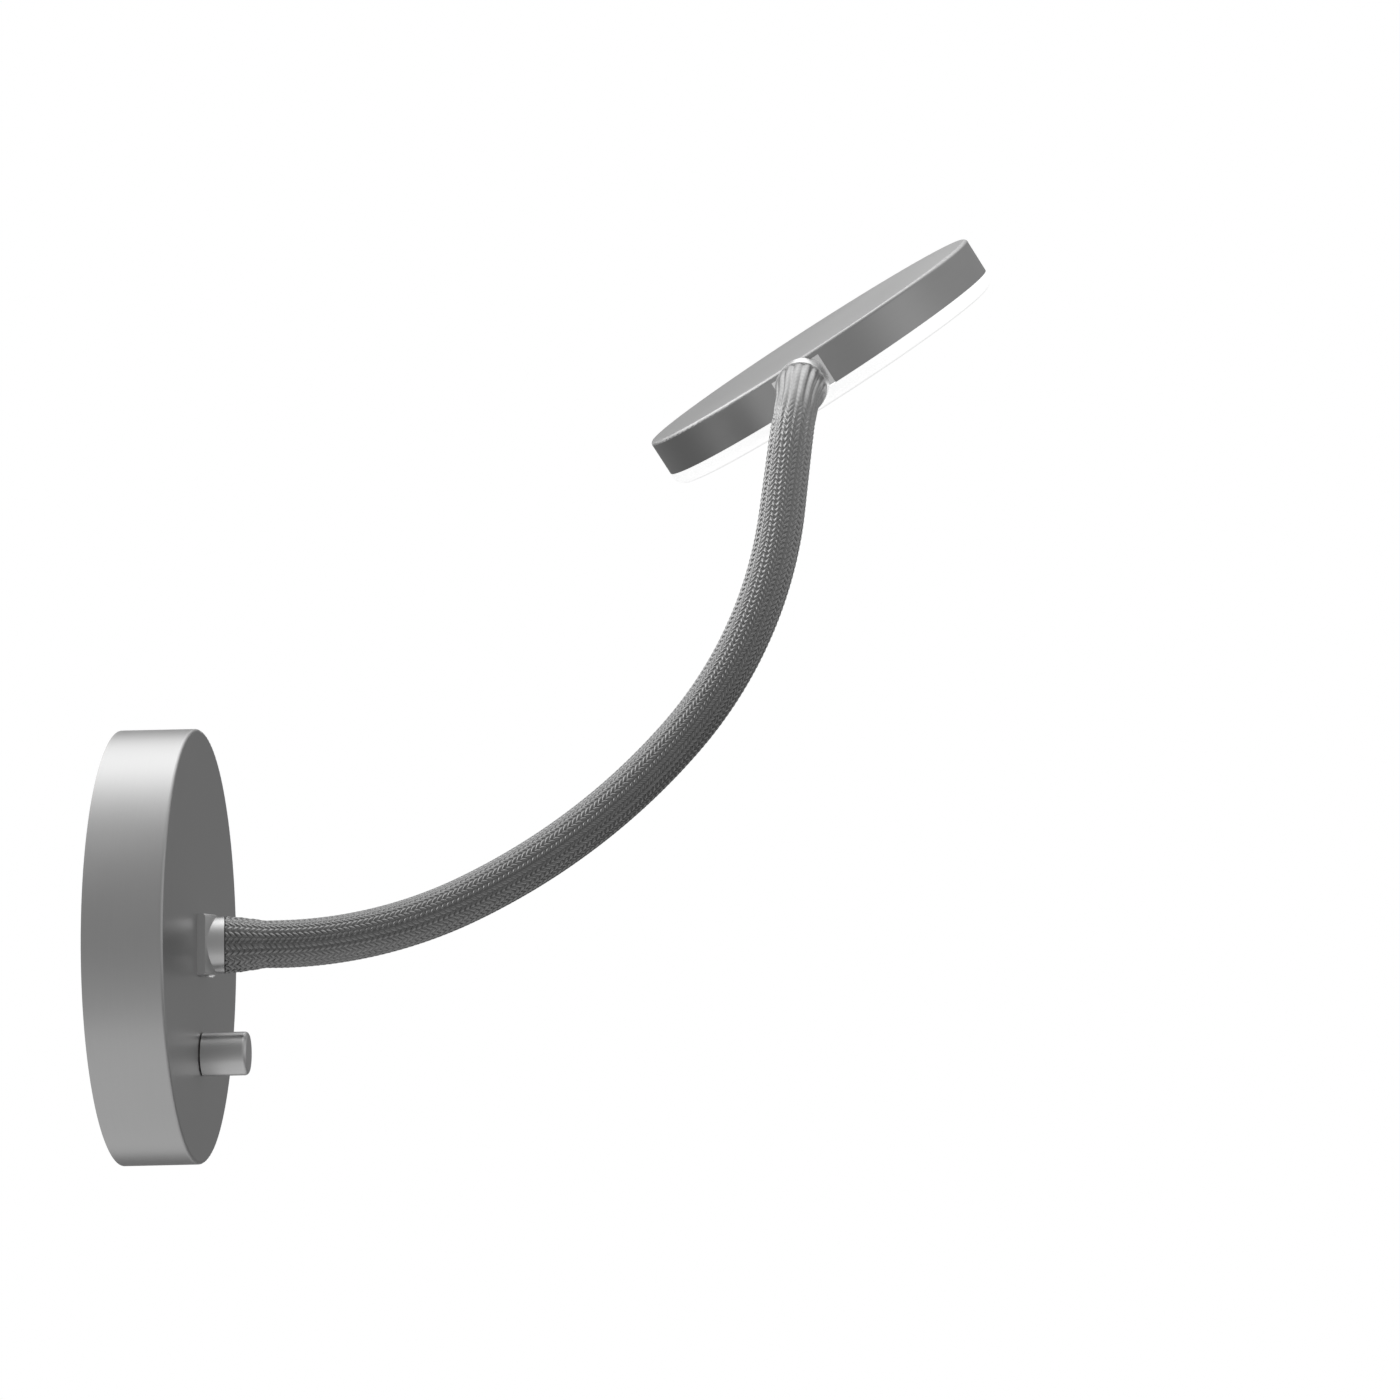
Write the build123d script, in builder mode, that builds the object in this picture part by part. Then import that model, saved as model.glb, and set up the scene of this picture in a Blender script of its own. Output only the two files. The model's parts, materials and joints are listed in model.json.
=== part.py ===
"""Gooseneck wall sconce: round canopy with a dimmer knob, braided flexible neck, flat disc head.

Millimetres. +Z is up, the wall is the plane y = 0 and the lamp reaches out along -Y.
The origin is the centre of the canopy's back face. The neck is flexible, so its core is made
as links joined by ball hinges, bent at rest as the lamp is posed.
"""
from build123d import *
from math import cos, radians, sin, sqrt
import os

os.makedirs("parts", exist_ok=True)

# ------------------------------------------------------------------ driving dimensions
# Canopy, the round cover on the wall
canopy_radius = 63.5
canopy_depth = 22.2
canopy_wall = 2.0
canopy_edge_radius = 1.0

# Fits, used wherever two pieces meet, and how far a cut runs on past the metal
running_clearance = 0.05
loose_clearance = 0.3
cut_beyond = 1.0

# Mounting plate behind the canopy, and its slots for a 4 inch wall box
plate_thickness = 1.5
plate_margin = 3.5
box_screw_spacing = 88.9
slot_length = 12.0
slot_width = 4.6
cable_hole_radius = 17.0
ear_width = 12.0
ear_length = 8.0
ear_thickness = 2.0
grub_radius = 1.5
grub_inset = 0.3
grub_from_wall = 6.0

# Hub block: a square block with a round collar that the neck leaves by
block_width = 17.7
block_proud = 4.4
block_front_radius = 20.0
block_edge_radius = 0.9
collar_radius = 8.3
collar_root = 1.35
collar_end = 6.4
collar_lean = 8.7
collar_mouth_radius = 7.2
collar_mouth_depth = 3.0
stem_radius = 6.5
stem_length = 8.2
stem_nut_width = 17.0
stem_nut_thickness = 3.0
stem_washer_radius = 9.5
stem_washer_thickness = 1.0
fitting_depth = 7.0
fitting_floor = 1.0
lead_bore_radius = 2.2
set_screw_stand_out = 0.6

# Dimmer and its knob, straight below the hub
knob_drop = 31.75
knob_radius = 6.35
knob_length = 13.25
knob_gap = 0.35
knob_edge_radius = 1.2
knob_recess_radius = 5.1
knob_recess_depth = 4.0
shaft_radius = 2.0
shaft_reach_in_knob = 11.0
bush_radius = 3.0
bush_stand_out = 3.6
bush_nut_width = 8.0
bush_nut_thickness = 2.0
bush_washer_thickness = 0.6
pot_radius = 8.0
pot_depth = 8.0
pot_wall = 1.0
wiper_radius = 5.0
wiper_thickness = 1.2

# LED driver above the hub, held by tape
driver_width = 68.0
driver_canopy_clearance = 3.5
driver_thickness = 12.5
driver_bottom = 20.0
driver_wall = 1.2
driver_lid_thickness = 1.5
driver_edge_radius = 1.5
tape_thickness = 1.0
board_thickness = 1.6
transformer_width = 13.5
capacitor_radius = 3.4
capacitor_clearance = 3.7
capacitor_from_end = 8.4

# Wiring inside the canopy
lead_radius = 1.0
terminal_width = 21.0
terminal_height = 12.0
terminal_depth = 10.0
terminal_x = -33.0
terminal_z = -16.0
ground_screw_x = 26.0
ground_screw_z = -26.0
ground_head_radius = 3.6
ground_head_thickness = 1.5
ground_slot_width = 0.8
lead_spacing = 2.1

# Neck: stretches of its centre line, each a length and the angle it turns through
neck_lead_out = 15.1
neck_lower_length = 58.0
neck_lower_turn = 24.8
neck_middle_length = 82.7
neck_middle_turn = 23.4
neck_upper_length = 77.8
neck_upper_turn = 33.4
neck_straight_length = 18.7
tip_bend_radius = 27.0
tip_turn = 67.3
tip_lean = 13.0
head_roll = 38.0
sleeve_radius = 6.9
sleeve_wall = 0.7
core_radius = 5.4
core_bore_radius = 1.4
ball_radius = 4.3
ball_bore_radius = 1.7
ball_stem_radius = 2.6
cup_reach = 1.2
link_gap = 4.8
link_overlap = 0.5
fitting_wall = 0.8
first_hinge = 12.0
long_hinges = 9

# Head: metal shell above, opal diffuser below
head_radius = 63.5
shell_height = 12.7
shell_top = 2.0
shell_wall = 1.8
shell_edge_radius = 1.2
diffuser_height = 5.0
diffuser_floor = 2.0
diffuser_wall = 1.8
diffuser_edge_radius = 3.0
diffuser_lip_height = 3.0
head_collar_length = 11.0
head_block_depth = 9.0
head_stem_radius = 4.0
head_stem_length = 6.0
collar_step = 0.6
head_nut_width = 10.0
head_nut_thickness = 2.2
head_nut_clearance = 0.6
web_thickness = 2.0
web_under_stem = 0.8
board_margin = 17.7
pad_thickness = 0.5
head_pad_inset = 8.0
led_size = 3.0
led_thickness = 0.8
led_ring_counts = (12, 18, 26)
led_ring_insets = (28.0, 15.0, 4.0)
board_screw_inset = 9.0
board_screw_radius = 1.25
board_screw_angle = 60.0

# ------------------------------------------------------------------ planes and places
OUT = Plane(origin=(0, 0, 0), x_dir=(1, 0, 0), z_dir=(0, -1, 0))
face_inside = canopy_depth - canopy_wall
canopy_inner_radius = canopy_radius - canopy_wall
knob_place = (0, -knob_drop)
neck_drop_in_head = shell_top + head_nut_clearance + head_nut_width / 2
quarter_turn = 90


def facing(depth):
    """The plane parallel to the wall, this far out of it; sketches there are in X and Z."""
    return OUT.offset(depth)


def finish(piece, name):
    """Label a finished piece and write it."""
    piece.part.label = name
    export_step(piece.part, f"parts/{name}.step")


# ------------------------------------------------------------------ the neck's centre line
def along(start, length, turn):
    """The plane at the end of a stretch that turns from start's normal towards its y direction."""
    if turn == 0:
        return start.offset(length)
    angle = radians(turn)
    radius = length / angle
    origin = start.origin + start.y_dir * radius * (1 - cos(angle)) + start.z_dir * radius * sin(angle)
    ahead = start.z_dir * cos(angle) + start.y_dir * sin(angle)
    return Plane(origin=origin, x_dir=start.x_dir, z_dir=ahead)


def rolled(plane, angle):
    """The same plane, turned about its normal."""
    turned = plane.x_dir * cos(radians(angle)) + plane.y_dir * sin(radians(angle))
    return Plane(origin=plane.origin, x_dir=turned, z_dir=plane.z_dir)


# The hub's collar leans to the side, and the neck goes on in its direction.
COLLAR = Plane(
    origin=(0, -canopy_depth, 0),
    x_dir=(cos(radians(collar_lean)), sin(radians(collar_lean)), 0),
    z_dir=(sin(radians(collar_lean)), -cos(radians(collar_lean)), 0),
)
MOUTH = COLLAR.offset(collar_end)
tip_length = tip_bend_radius * radians(tip_turn)

# Each stretch: its length, its turn, and the roll of the bending direction before it.
# The lead-out is straight, the long stretches bend up, and the tip bends into the head.
stretches = (
    (neck_lead_out, 0, 0),
    (neck_lower_length, neck_lower_turn, 0),
    (neck_middle_length, neck_middle_turn, 0),
    (neck_upper_length, neck_upper_turn, 0),
    (neck_straight_length, 0, 0),
    (tip_length, tip_turn, -quarter_turn - tip_lean),
)
neck_length = sum(length for length, turn, roll in stretches)


def station(distance):
    """The plane across the neck at this distance along it, its normal pointing to the head."""
    plane = MOUTH
    left = distance
    if distance < 0:
        return plane.offset(distance)
    for length, turn, roll in stretches:
        plane = rolled(plane, roll)
        if left <= length:
            return along(plane, left, turn * left / length)
        plane = along(plane, length, turn)
        left -= length
    return plane.offset(left)


def stretch_ends(start, end):
    """Distances that cut the neck between start and end where its curvature changes."""
    cuts, reached = [start], 0.0
    for length in [0] + [length for length, turn, roll in stretches]:
        reached += length
        if start + 0.01 < reached < end - 0.01:
            cuts.append(reached)
    return cuts + [end]


def neck_route(start, end):
    """Draw the centre line from start to end in the current BuildLine."""
    cuts = stretch_ends(start, end)
    for a, b in zip(cuts[:-1], cuts[1:]):
        first, middle, last = (station(d).origin for d in (a, (a + b) / 2, b))
        if ((middle - first).cross(last - middle)).length < 0.001:
            Line(first, last)
        else:
            ThreePointArc(first, middle, last)


# Hinges at even steps from the first to the one in the middle of the tip's bend
last_hinge = neck_length - tip_length / 2
hinge_spacing = (last_hinge - first_hinge) / long_hinges
hinges = [first_hinge + hinge_spacing * i for i in range(long_hinges + 1)]

# ------------------------------------------------------------------ canopy
with BuildPart() as canopy:
    with BuildSketch(OUT):
        Circle(canopy_radius)
    extrude(amount=canopy_depth)
    front_edge = canopy.edges().filter_by(GeomType.CIRCLE).sort_by(Axis.Y)[0]
    fillet(front_edge, canopy_edge_radius)
    with BuildSketch(OUT):
        Circle(canopy_inner_radius)
    extrude(amount=face_inside, mode=Mode.SUBTRACT)
    with BuildSketch(facing(face_inside)):
        Circle(stem_radius + running_clearance)
        with Locations(knob_place):
            Circle(bush_radius + running_clearance)
    extrude(amount=canopy_wall, mode=Mode.SUBTRACT)
    with Locations((0, -grub_from_wall, 0)):
        Cylinder(grub_radius + running_clearance, 2 * (canopy_radius + cut_beyond), mode=Mode.SUBTRACT)
finish(canopy, "canopy")

# ------------------------------------------------------------------ mounting plate
plate_radius = canopy_inner_radius - plate_margin
ear_outside = plate_radius - ear_thickness
ear_inside = ear_outside - ear_thickness
with BuildPart() as mounting_plate:
    with BuildSketch(OUT):
        Circle(plate_radius)
        Circle(cable_hole_radius, mode=Mode.SUBTRACT)
        with GridLocations(box_screw_spacing, 0, 2, 1):
            SlotOverall(slot_length, slot_width, mode=Mode.SUBTRACT)
        with Locations((ground_screw_x, ground_screw_z)):
            Circle(grub_radius + running_clearance, mode=Mode.SUBTRACT)
    extrude(amount=plate_thickness)
    with BuildSketch(OUT):
        with GridLocations(0, ear_outside + ear_inside, 1, 2):
            Rectangle(ear_width, ear_thickness)
    extrude(amount=plate_thickness + ear_length)
    with Locations((0, -grub_from_wall, 0)):
        Cylinder(grub_radius + running_clearance, 2 * plate_radius, mode=Mode.SUBTRACT)
finish(mounting_plate, "mounting_plate")


def across(height):
    """The plane square to Z at this height, on the line of the screws that hold the canopy."""
    return Plane(origin=(0, -grub_from_wall, height), z_dir=(0, 0, 1 if height > 0 else -1))


with BuildPart() as canopy_grub_screws:
    for side in (1, -1):
        with BuildSketch(across(side * ear_inside)):
            Circle(grub_radius)
        extrude(amount=canopy_radius - grub_inset - ear_inside)
        with BuildSketch(across(side * (canopy_radius - grub_inset))):
            RegularPolygon(grub_radius / 2, 6)
        extrude(amount=-grub_radius, mode=Mode.SUBTRACT)
finish(canopy_grub_screws, "canopy_grub_screws")

GROUND = OUT.shift_origin((ground_screw_x, 0, ground_screw_z))
with BuildPart() as ground_screw:
    with BuildSketch(GROUND):
        Circle(grub_radius)
    extrude(amount=plate_thickness)
    with BuildSketch(GROUND.offset(plate_thickness)):
        Circle(ground_head_radius)
    extrude(amount=ground_head_thickness)
    with BuildSketch(GROUND.offset(plate_thickness + ground_head_thickness)):
        Rectangle(2 * ground_head_radius, ground_slot_width)
    extrude(amount=-ground_head_thickness / 2, mode=Mode.SUBTRACT)
finish(ground_screw, "ground_screw")

# ------------------------------------------------------------------ hub block with its collar
block_back = canopy_depth
fitting_radius = core_radius
set_screw_depth = block_back + block_proud / 2
with BuildPart() as hub_block:
    with BuildSketch(facing(block_back)):
        Rectangle(block_width, block_width)
    extrude(amount=block_proud)
    with BuildSketch(Plane.XY) as rounded_front:
        with Locations((0, -(block_back + block_proud - block_front_radius))):
            Circle(block_front_radius)
    extrude(amount=block_width, both=True, mode=Mode.INTERSECT)
    fillet(hub_block.edges().filter_by(GeomType.CIRCLE).group_by(Axis.Y)[0], block_edge_radius)
    with BuildSketch(COLLAR.offset(collar_root)):
        Circle(collar_radius)
    extrude(amount=collar_end - collar_root)
    with BuildSketch(facing(block_back)):
        Circle(stem_radius)
    extrude(amount=-stem_length)
    with BuildSketch(MOUTH):
        Circle(collar_mouth_radius)
    extrude(amount=-collar_mouth_depth, mode=Mode.SUBTRACT)
    with BuildSketch(MOUTH):
        Circle(fitting_radius + running_clearance)
    extrude(amount=-fitting_depth, mode=Mode.SUBTRACT)
    with BuildSketch(facing(block_back)):
        Circle(lead_bore_radius)
    extrude(amount=-stem_length, mode=Mode.SUBTRACT)
    with BuildSketch(Plane(origin=(0, -set_screw_depth, 0), z_dir=(0, 0, -1))):
        Circle(grub_radius + running_clearance)
    extrude(amount=block_width, mode=Mode.SUBTRACT)
finish(hub_block, "hub_block")

with BuildPart() as hub_set_screw:
    with BuildSketch(Plane(origin=(0, -set_screw_depth, -fitting_radius), z_dir=(0, 0, -1))):
        Circle(grub_radius)
    extrude(amount=block_width / 2 - fitting_radius + set_screw_stand_out)
    fillet(hub_set_screw.edges().filter_by(GeomType.CIRCLE).sort_by(Axis.Z)[0], grub_radius / 3)
finish(hub_set_screw, "hub_set_screw")

with BuildPart() as hub_washer:
    with BuildSketch(facing(face_inside)):
        Circle(stem_washer_radius)
        Circle(stem_radius + running_clearance, mode=Mode.SUBTRACT)
    extrude(amount=-stem_washer_thickness)
finish(hub_washer, "hub_washer")

with BuildPart() as hub_nut:
    with BuildSketch(facing(face_inside - stem_washer_thickness)):
        RegularPolygon(stem_nut_width / 2, 6, major_radius=False)
        Circle(stem_radius + running_clearance, mode=Mode.SUBTRACT)
    extrude(amount=-stem_nut_thickness)
finish(hub_nut, "hub_nut")

# ------------------------------------------------------------------ dimmer and knob
KNOB = OUT.shift_origin((0, 0, -knob_drop))
pot_front = face_inside - bush_washer_thickness
pot_back = pot_front - pot_depth
knob_back = canopy_depth + knob_gap
with BuildPart() as dimmer_body:
    with BuildSketch(KNOB.offset(pot_back)):
        Circle(pot_radius)
    extrude(amount=pot_depth)
    with BuildSketch(KNOB.offset(pot_back + pot_wall)):
        Circle(pot_radius - pot_wall)
    extrude(amount=pot_depth - 2 * pot_wall, mode=Mode.SUBTRACT)
    with BuildSketch(KNOB.offset(pot_front)):
        Circle(bush_radius)
    extrude(amount=-pot_wall, mode=Mode.SUBTRACT)
finish(dimmer_body, "dimmer_body")

with BuildPart() as dimmer_bush:
    with BuildSketch(KNOB.offset(pot_front - pot_wall)):
        Circle(bush_radius)
        Circle(shaft_radius + running_clearance, mode=Mode.SUBTRACT)
    extrude(amount=canopy_depth + bush_stand_out - pot_front + pot_wall)
finish(dimmer_bush, "dimmer_bush")

with BuildPart() as dimmer_washer:
    with BuildSketch(KNOB.offset(face_inside)):
        Circle(bush_radius * 2)
        Circle(bush_radius + running_clearance, mode=Mode.SUBTRACT)
    extrude(amount=-bush_washer_thickness)
finish(dimmer_washer, "dimmer_washer")

with BuildPart() as dimmer_nut:
    with BuildSketch(KNOB.offset(canopy_depth)):
        RegularPolygon(bush_nut_width / 2, 6, major_radius=False)
        Circle(bush_radius + running_clearance, mode=Mode.SUBTRACT)
    extrude(amount=bush_nut_thickness)
finish(dimmer_nut, "dimmer_nut")

shaft_back = pot_back + 2 * pot_wall + wiper_thickness
with BuildPart() as dimmer_shaft:
    with BuildSketch(KNOB.offset(shaft_back)):
        Circle(shaft_radius)
    extrude(amount=knob_back + shaft_reach_in_knob - shaft_back)
finish(dimmer_shaft, "dimmer_shaft")

with BuildPart() as dimmer_wiper:
    with BuildSketch(KNOB.offset(shaft_back)):
        Circle(wiper_radius)
        with Locations((0, wiper_radius)):
            Rectangle(wiper_thickness, wiper_thickness)
    extrude(amount=-wiper_thickness)
finish(dimmer_wiper, "dimmer_wiper")

knob_screw_depth = knob_back + (knob_recess_depth + shaft_reach_in_knob) / 2
with BuildPart() as knob:
    with BuildSketch(KNOB.offset(knob_back)):
        Circle(knob_radius)
    extrude(amount=knob_length)
    fillet(knob.edges().filter_by(GeomType.CIRCLE).sort_by(Axis.Y)[0], knob_edge_radius)
    with BuildSketch(KNOB.offset(knob_back)):
        Circle(knob_recess_radius)
    extrude(amount=knob_recess_depth, mode=Mode.SUBTRACT)
    with BuildSketch(KNOB.offset(knob_back)):
        Circle(shaft_radius + running_clearance)
    extrude(amount=shaft_reach_in_knob, mode=Mode.SUBTRACT)
    with BuildSketch(Plane(origin=(0, -knob_screw_depth, -knob_drop), z_dir=(1, 0, 0))):
        Circle(grub_radius + running_clearance)
    extrude(amount=knob_radius, mode=Mode.SUBTRACT)
finish(knob, "knob")

with BuildPart() as knob_set_screw:
    with BuildSketch(Plane(origin=(shaft_radius, -knob_screw_depth, -knob_drop), z_dir=(1, 0, 0))):
        Circle(grub_radius)
    extrude(amount=knob_radius - shaft_radius - grub_inset)
finish(knob_set_screw, "knob_set_screw")

# ------------------------------------------------------------------ driver
driver_front = face_inside - tape_thickness
driver_back = driver_front - driver_thickness
driver_corner_radius = canopy_inner_radius - driver_canopy_clearance
driver_height = sqrt(driver_corner_radius**2 - (driver_width / 2) ** 2) - driver_bottom
driver_middle = driver_bottom + driver_height / 2
DRIVER = OUT.shift_origin((0, 0, driver_middle))
with BuildPart() as driver_tape:
    with BuildSketch(DRIVER.offset(face_inside)):
        Rectangle(driver_width - 4 * driver_edge_radius, driver_height - 4 * driver_edge_radius)
    extrude(amount=-tape_thickness)
finish(driver_tape, "driver_tape")

with BuildPart() as driver_case:
    with BuildSketch(DRIVER.offset(driver_back + driver_lid_thickness)):
        RectangleRounded(driver_width, driver_height, driver_edge_radius)
    extrude(amount=driver_thickness - driver_lid_thickness)
    with BuildSketch(DRIVER.offset(driver_back + driver_lid_thickness)):
        Rectangle(driver_width - 2 * driver_wall, driver_height - 2 * driver_wall)
    extrude(amount=driver_thickness - driver_lid_thickness - driver_wall, mode=Mode.SUBTRACT)
finish(driver_case, "driver_case")

with BuildPart() as driver_lid:
    with BuildSketch(DRIVER.offset(driver_back)):
        RectangleRounded(driver_width, driver_height, driver_edge_radius)
    extrude(amount=driver_lid_thickness)
finish(driver_lid, "driver_lid")

board_back = driver_back + driver_lid_thickness
capacitor_spacing_x = driver_width - 2 * (driver_wall + capacitor_from_end + capacitor_radius)
capacitor_spacing_z = driver_height - 2 * (driver_wall + capacitor_clearance + capacitor_radius)
with BuildPart() as driver_board:
    with BuildSketch(DRIVER.offset(board_back)):
        Rectangle(driver_width - 3 * driver_wall, driver_height - 3 * driver_wall)
    extrude(amount=board_thickness)
    with BuildSketch(DRIVER.offset(board_back + board_thickness)):
        Rectangle(transformer_width, transformer_width)
        with GridLocations(capacitor_spacing_x, capacitor_spacing_z, 2, 2):
            Circle(capacitor_radius)
    extrude(amount=driver_thickness - driver_lid_thickness - driver_wall - board_thickness - loose_clearance)
finish(driver_board, "driver_board")

# ------------------------------------------------------------------ wiring inside the canopy
lead_pitch = terminal_width / 3
TERMINAL = OUT.shift_origin((terminal_x, 0, terminal_z))
with BuildPart() as mains_terminal:
    with BuildSketch(TERMINAL.offset(plate_thickness)):
        RectangleRounded(terminal_width, terminal_height, driver_edge_radius)
    extrude(amount=terminal_depth)
    with BuildSketch(Plane(origin=(terminal_x, -plate_thickness - terminal_depth / 2,
                                   terminal_z - terminal_height / 2),
                           x_dir=(1, 0, 0), z_dir=(0, 0, -1))):
        with GridLocations(lead_pitch, 0, 3, 1):
            Circle(lead_radius + loose_clearance)
    extrude(amount=-terminal_height / 2, mode=Mode.SUBTRACT)
finish(mains_terminal, "mains_terminal")

terminal_top = terminal_z + terminal_height / 2
terminal_middle = plate_thickness + terminal_depth / 2
driver_centre = (driver_front + driver_back) / 2
lead_run = (driver_bottom - terminal_top) / 3
with BuildPart() as mains_leads:
    for i in (-1, 0, 1):
        lead_x = terminal_x + i * lead_pitch
        entry_x = -driver_width / 2 + (i + 2) * lead_pitch
        points = [
            (lead_x, -terminal_middle, terminal_top),
            (lead_x, -terminal_middle, terminal_top + lead_run),
            (entry_x, -driver_centre, driver_bottom - lead_run),
            (entry_x, -driver_centre, driver_bottom),
        ]
        with BuildLine() as route:
            FilletPolyline(*points, radius=5 * lead_radius)
        with BuildSketch(Plane(origin=points[0], z_dir=(0, 0, 1))):
            Circle(lead_radius)
        sweep(path=route.wires()[0])
finish(mains_leads, "mains_leads")

lead_depth = driver_back + driver_lid_thickness + lead_radius
with BuildPart() as lamp_leads:
    for side in (1, -1):
        lead_x = side * lead_spacing / 2
        points = [
            (lead_x, -lead_depth, driver_bottom),
            (lead_x, -lead_depth, 0),
            (lead_x, -(canopy_depth - stem_length / 2), 0),
        ]
        with BuildLine() as route:
            FilletPolyline(*points, radius=4 * lead_radius)
        with BuildSketch(Plane(origin=points[0], z_dir=(0, 0, -1))):
            Circle(lead_radius)
        sweep(path=route.wires()[0])
finish(lamp_leads, "lamp_leads")

pot_middle = (pot_back + pot_front) / 2
with BuildPart() as dimmer_leads:
    for side in (1, -1):
        lead_x = stem_washer_radius + (4 + 2 * side) * lead_radius
        pot_z = -knob_drop - side * 2 * lead_radius
        points = [
            (lead_x, -driver_centre, driver_bottom),
            (lead_x, -driver_centre, 0),
            (lead_x + 4 * lead_radius, -pot_middle, pot_z),
            (pot_radius, -pot_middle, pot_z),
        ]
        with BuildLine() as route:
            FilletPolyline(*points, radius=3 * lead_radius)
        with BuildSketch(Plane(origin=points[0], z_dir=(0, 0, -1))):
            Circle(lead_radius)
        sweep(path=route.wires()[0])
finish(dimmer_leads, "dimmer_leads")

# ------------------------------------------------------------------ neck core, link by link
fitting_bore = fitting_radius - fitting_wall
with BuildPart() as neck_fitting_base:
    with BuildSketch(MOUTH.offset(-fitting_depth)):
        Circle(fitting_radius)
        Circle(lead_bore_radius, mode=Mode.SUBTRACT)
    extrude(amount=fitting_depth - collar_mouth_depth)
    with BuildSketch(MOUTH.offset(fitting_floor - fitting_depth)):
        Circle(fitting_bore)
    extrude(amount=fitting_depth, mode=Mode.SUBTRACT)
finish(neck_fitting_base, "neck_fitting_base")


def link_body(start, end):
    """The tube of one link, and the lead bore through it, along the centre line."""
    with BuildLine() as route:
        neck_route(start, end)
    with BuildSketch(station(start)) as section:
        Circle(core_radius)
        Circle(core_bore_radius, mode=Mode.SUBTRACT)
    sweep(section.sketch, path=route.wires()[0])


def link_ball(hinge):
    """The ball and its short stem that a link turns on."""
    with Locations(station(hinge)):
        Sphere(ball_radius)
    with BuildSketch(station(hinge)) as stem:
        Circle(ball_stem_radius)
    extrude(stem.sketch, amount=link_gap + link_overlap)
    with BuildSketch(station(hinge)) as bore:
        Circle(ball_bore_radius)
    extrude(bore.sketch, amount=1.5 * ball_radius, both=True, mode=Mode.SUBTRACT)


def link_socket(hinge):
    """The cup in a link's end that holds the next link's ball, reaching past its centre."""
    with Locations(station(hinge)):
        Sphere(ball_radius + running_clearance, mode=Mode.SUBTRACT)


with BuildPart() as neck_core_0:
    link_body(-collar_mouth_depth, hinges[0] + cup_reach)
    with BuildSketch(MOUTH.offset(-collar_mouth_depth)):
        Circle(fitting_bore - running_clearance)
        Circle(core_bore_radius, mode=Mode.SUBTRACT)
    extrude(amount=-(fitting_depth - collar_mouth_depth - fitting_floor))
    link_socket(hinges[0])
finish(neck_core_0, "neck_core_0")

for number, (hinge, following) in enumerate(zip(hinges[:-1], hinges[1:]), start=1):
    with BuildPart() as neck_core:
        link_body(hinge + link_gap, following + cup_reach)
        link_ball(hinge)
        link_socket(following)
    finish(neck_core, f"neck_core_{number}")

# ------------------------------------------------------------------ braided sleeve, in stretches
# Each stretch of sleeve runs from the middle of one link to the middle of the next.
seams = [-collar_mouth_depth + loose_clearance]
seams += [(a + b) / 2 for a, b in zip(hinges[:-1], hinges[1:])]
seams += [neck_length + collar_mouth_depth - loose_clearance]
for number, (start, end) in enumerate(zip(seams[:-1], seams[1:]), start=1):
    with BuildPart() as sleeve:
        with BuildLine() as route:
            neck_route(start, end)
        with BuildSketch(station(start)):
            Circle(sleeve_radius)
            Circle(sleeve_radius - sleeve_wall, mode=Mode.SUBTRACT)
        sweep(path=route.wires()[0])
    finish(sleeve, f"sleeve_{number}")

# ------------------------------------------------------------------ head
# The head's own plane: x points from its centre to the neck, z is its top side's normal.
neck_end = station(neck_length)
head_up = rolled(neck_end, 180 - head_roll).y_dir
mouth_from_centre = head_radius + head_collar_length
HEAD = Plane(
    origin=neck_end.origin + neck_end.z_dir * mouth_from_centre + head_up * neck_drop_in_head,
    x_dir=-neck_end.z_dir,
    z_dir=head_up,
)
NOTCH = Plane(origin=HEAD.from_local_coords((0, 0, -neck_drop_in_head)), x_dir=HEAD.y_dir, z_dir=HEAD.x_dir)
shell_inner_radius = head_radius - shell_wall
board_radius = shell_inner_radius - board_margin
board_screw_circle = board_radius - board_screw_inset
notch_width = block_width + 2 * running_clearance
block_front = head_radius
block_rear = block_front - head_block_depth
web_inside = block_rear - web_thickness


def below_top(depth):
    """The plane parallel to the head's top, this far under it."""
    return HEAD.offset(-depth)


def in_notch(radius):
    """The plane across the neck's axis at this radius of the head."""
    return NOTCH.offset(radius)


with BuildPart() as head_shell:
    with BuildSketch(HEAD):
        Circle(head_radius)
    extrude(amount=-shell_height)
    top_edge = head_shell.faces().sort_by(Axis(HEAD.origin, HEAD.z_dir))[-1].edges()
    fillet(top_edge, shell_edge_radius)
    with BuildSketch(below_top(shell_top)):
        Circle(shell_inner_radius)
    extrude(amount=-(shell_height - shell_top), mode=Mode.SUBTRACT)
    with BuildSketch(below_top(shell_top)):
        with Locations((block_rear - web_thickness / 2, 0)):
            Rectangle(web_thickness, notch_width)
    extrude(amount=-(neck_drop_in_head + head_stem_radius + web_under_stem - shell_top))
    with BuildSketch(below_top(shell_top)):
        with Locations((block_rear + head_block_depth / 2 + cut_beyond / 2, 0)):
            Rectangle(head_block_depth + cut_beyond, notch_width)
    extrude(amount=-shell_height, mode=Mode.SUBTRACT)
    with BuildSketch(in_notch(web_inside - cut_beyond)):
        Circle(head_stem_radius + running_clearance)
    extrude(amount=web_thickness + 2 * cut_beyond, mode=Mode.SUBTRACT)
    with BuildSketch(below_top(shell_top)):
        with PolarLocations(board_screw_circle, 3, start_angle=board_screw_angle):
            Circle(board_screw_radius + running_clearance)
    extrude(amount=shell_top / 2, mode=Mode.SUBTRACT)
finish(head_shell, "head_shell")

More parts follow.
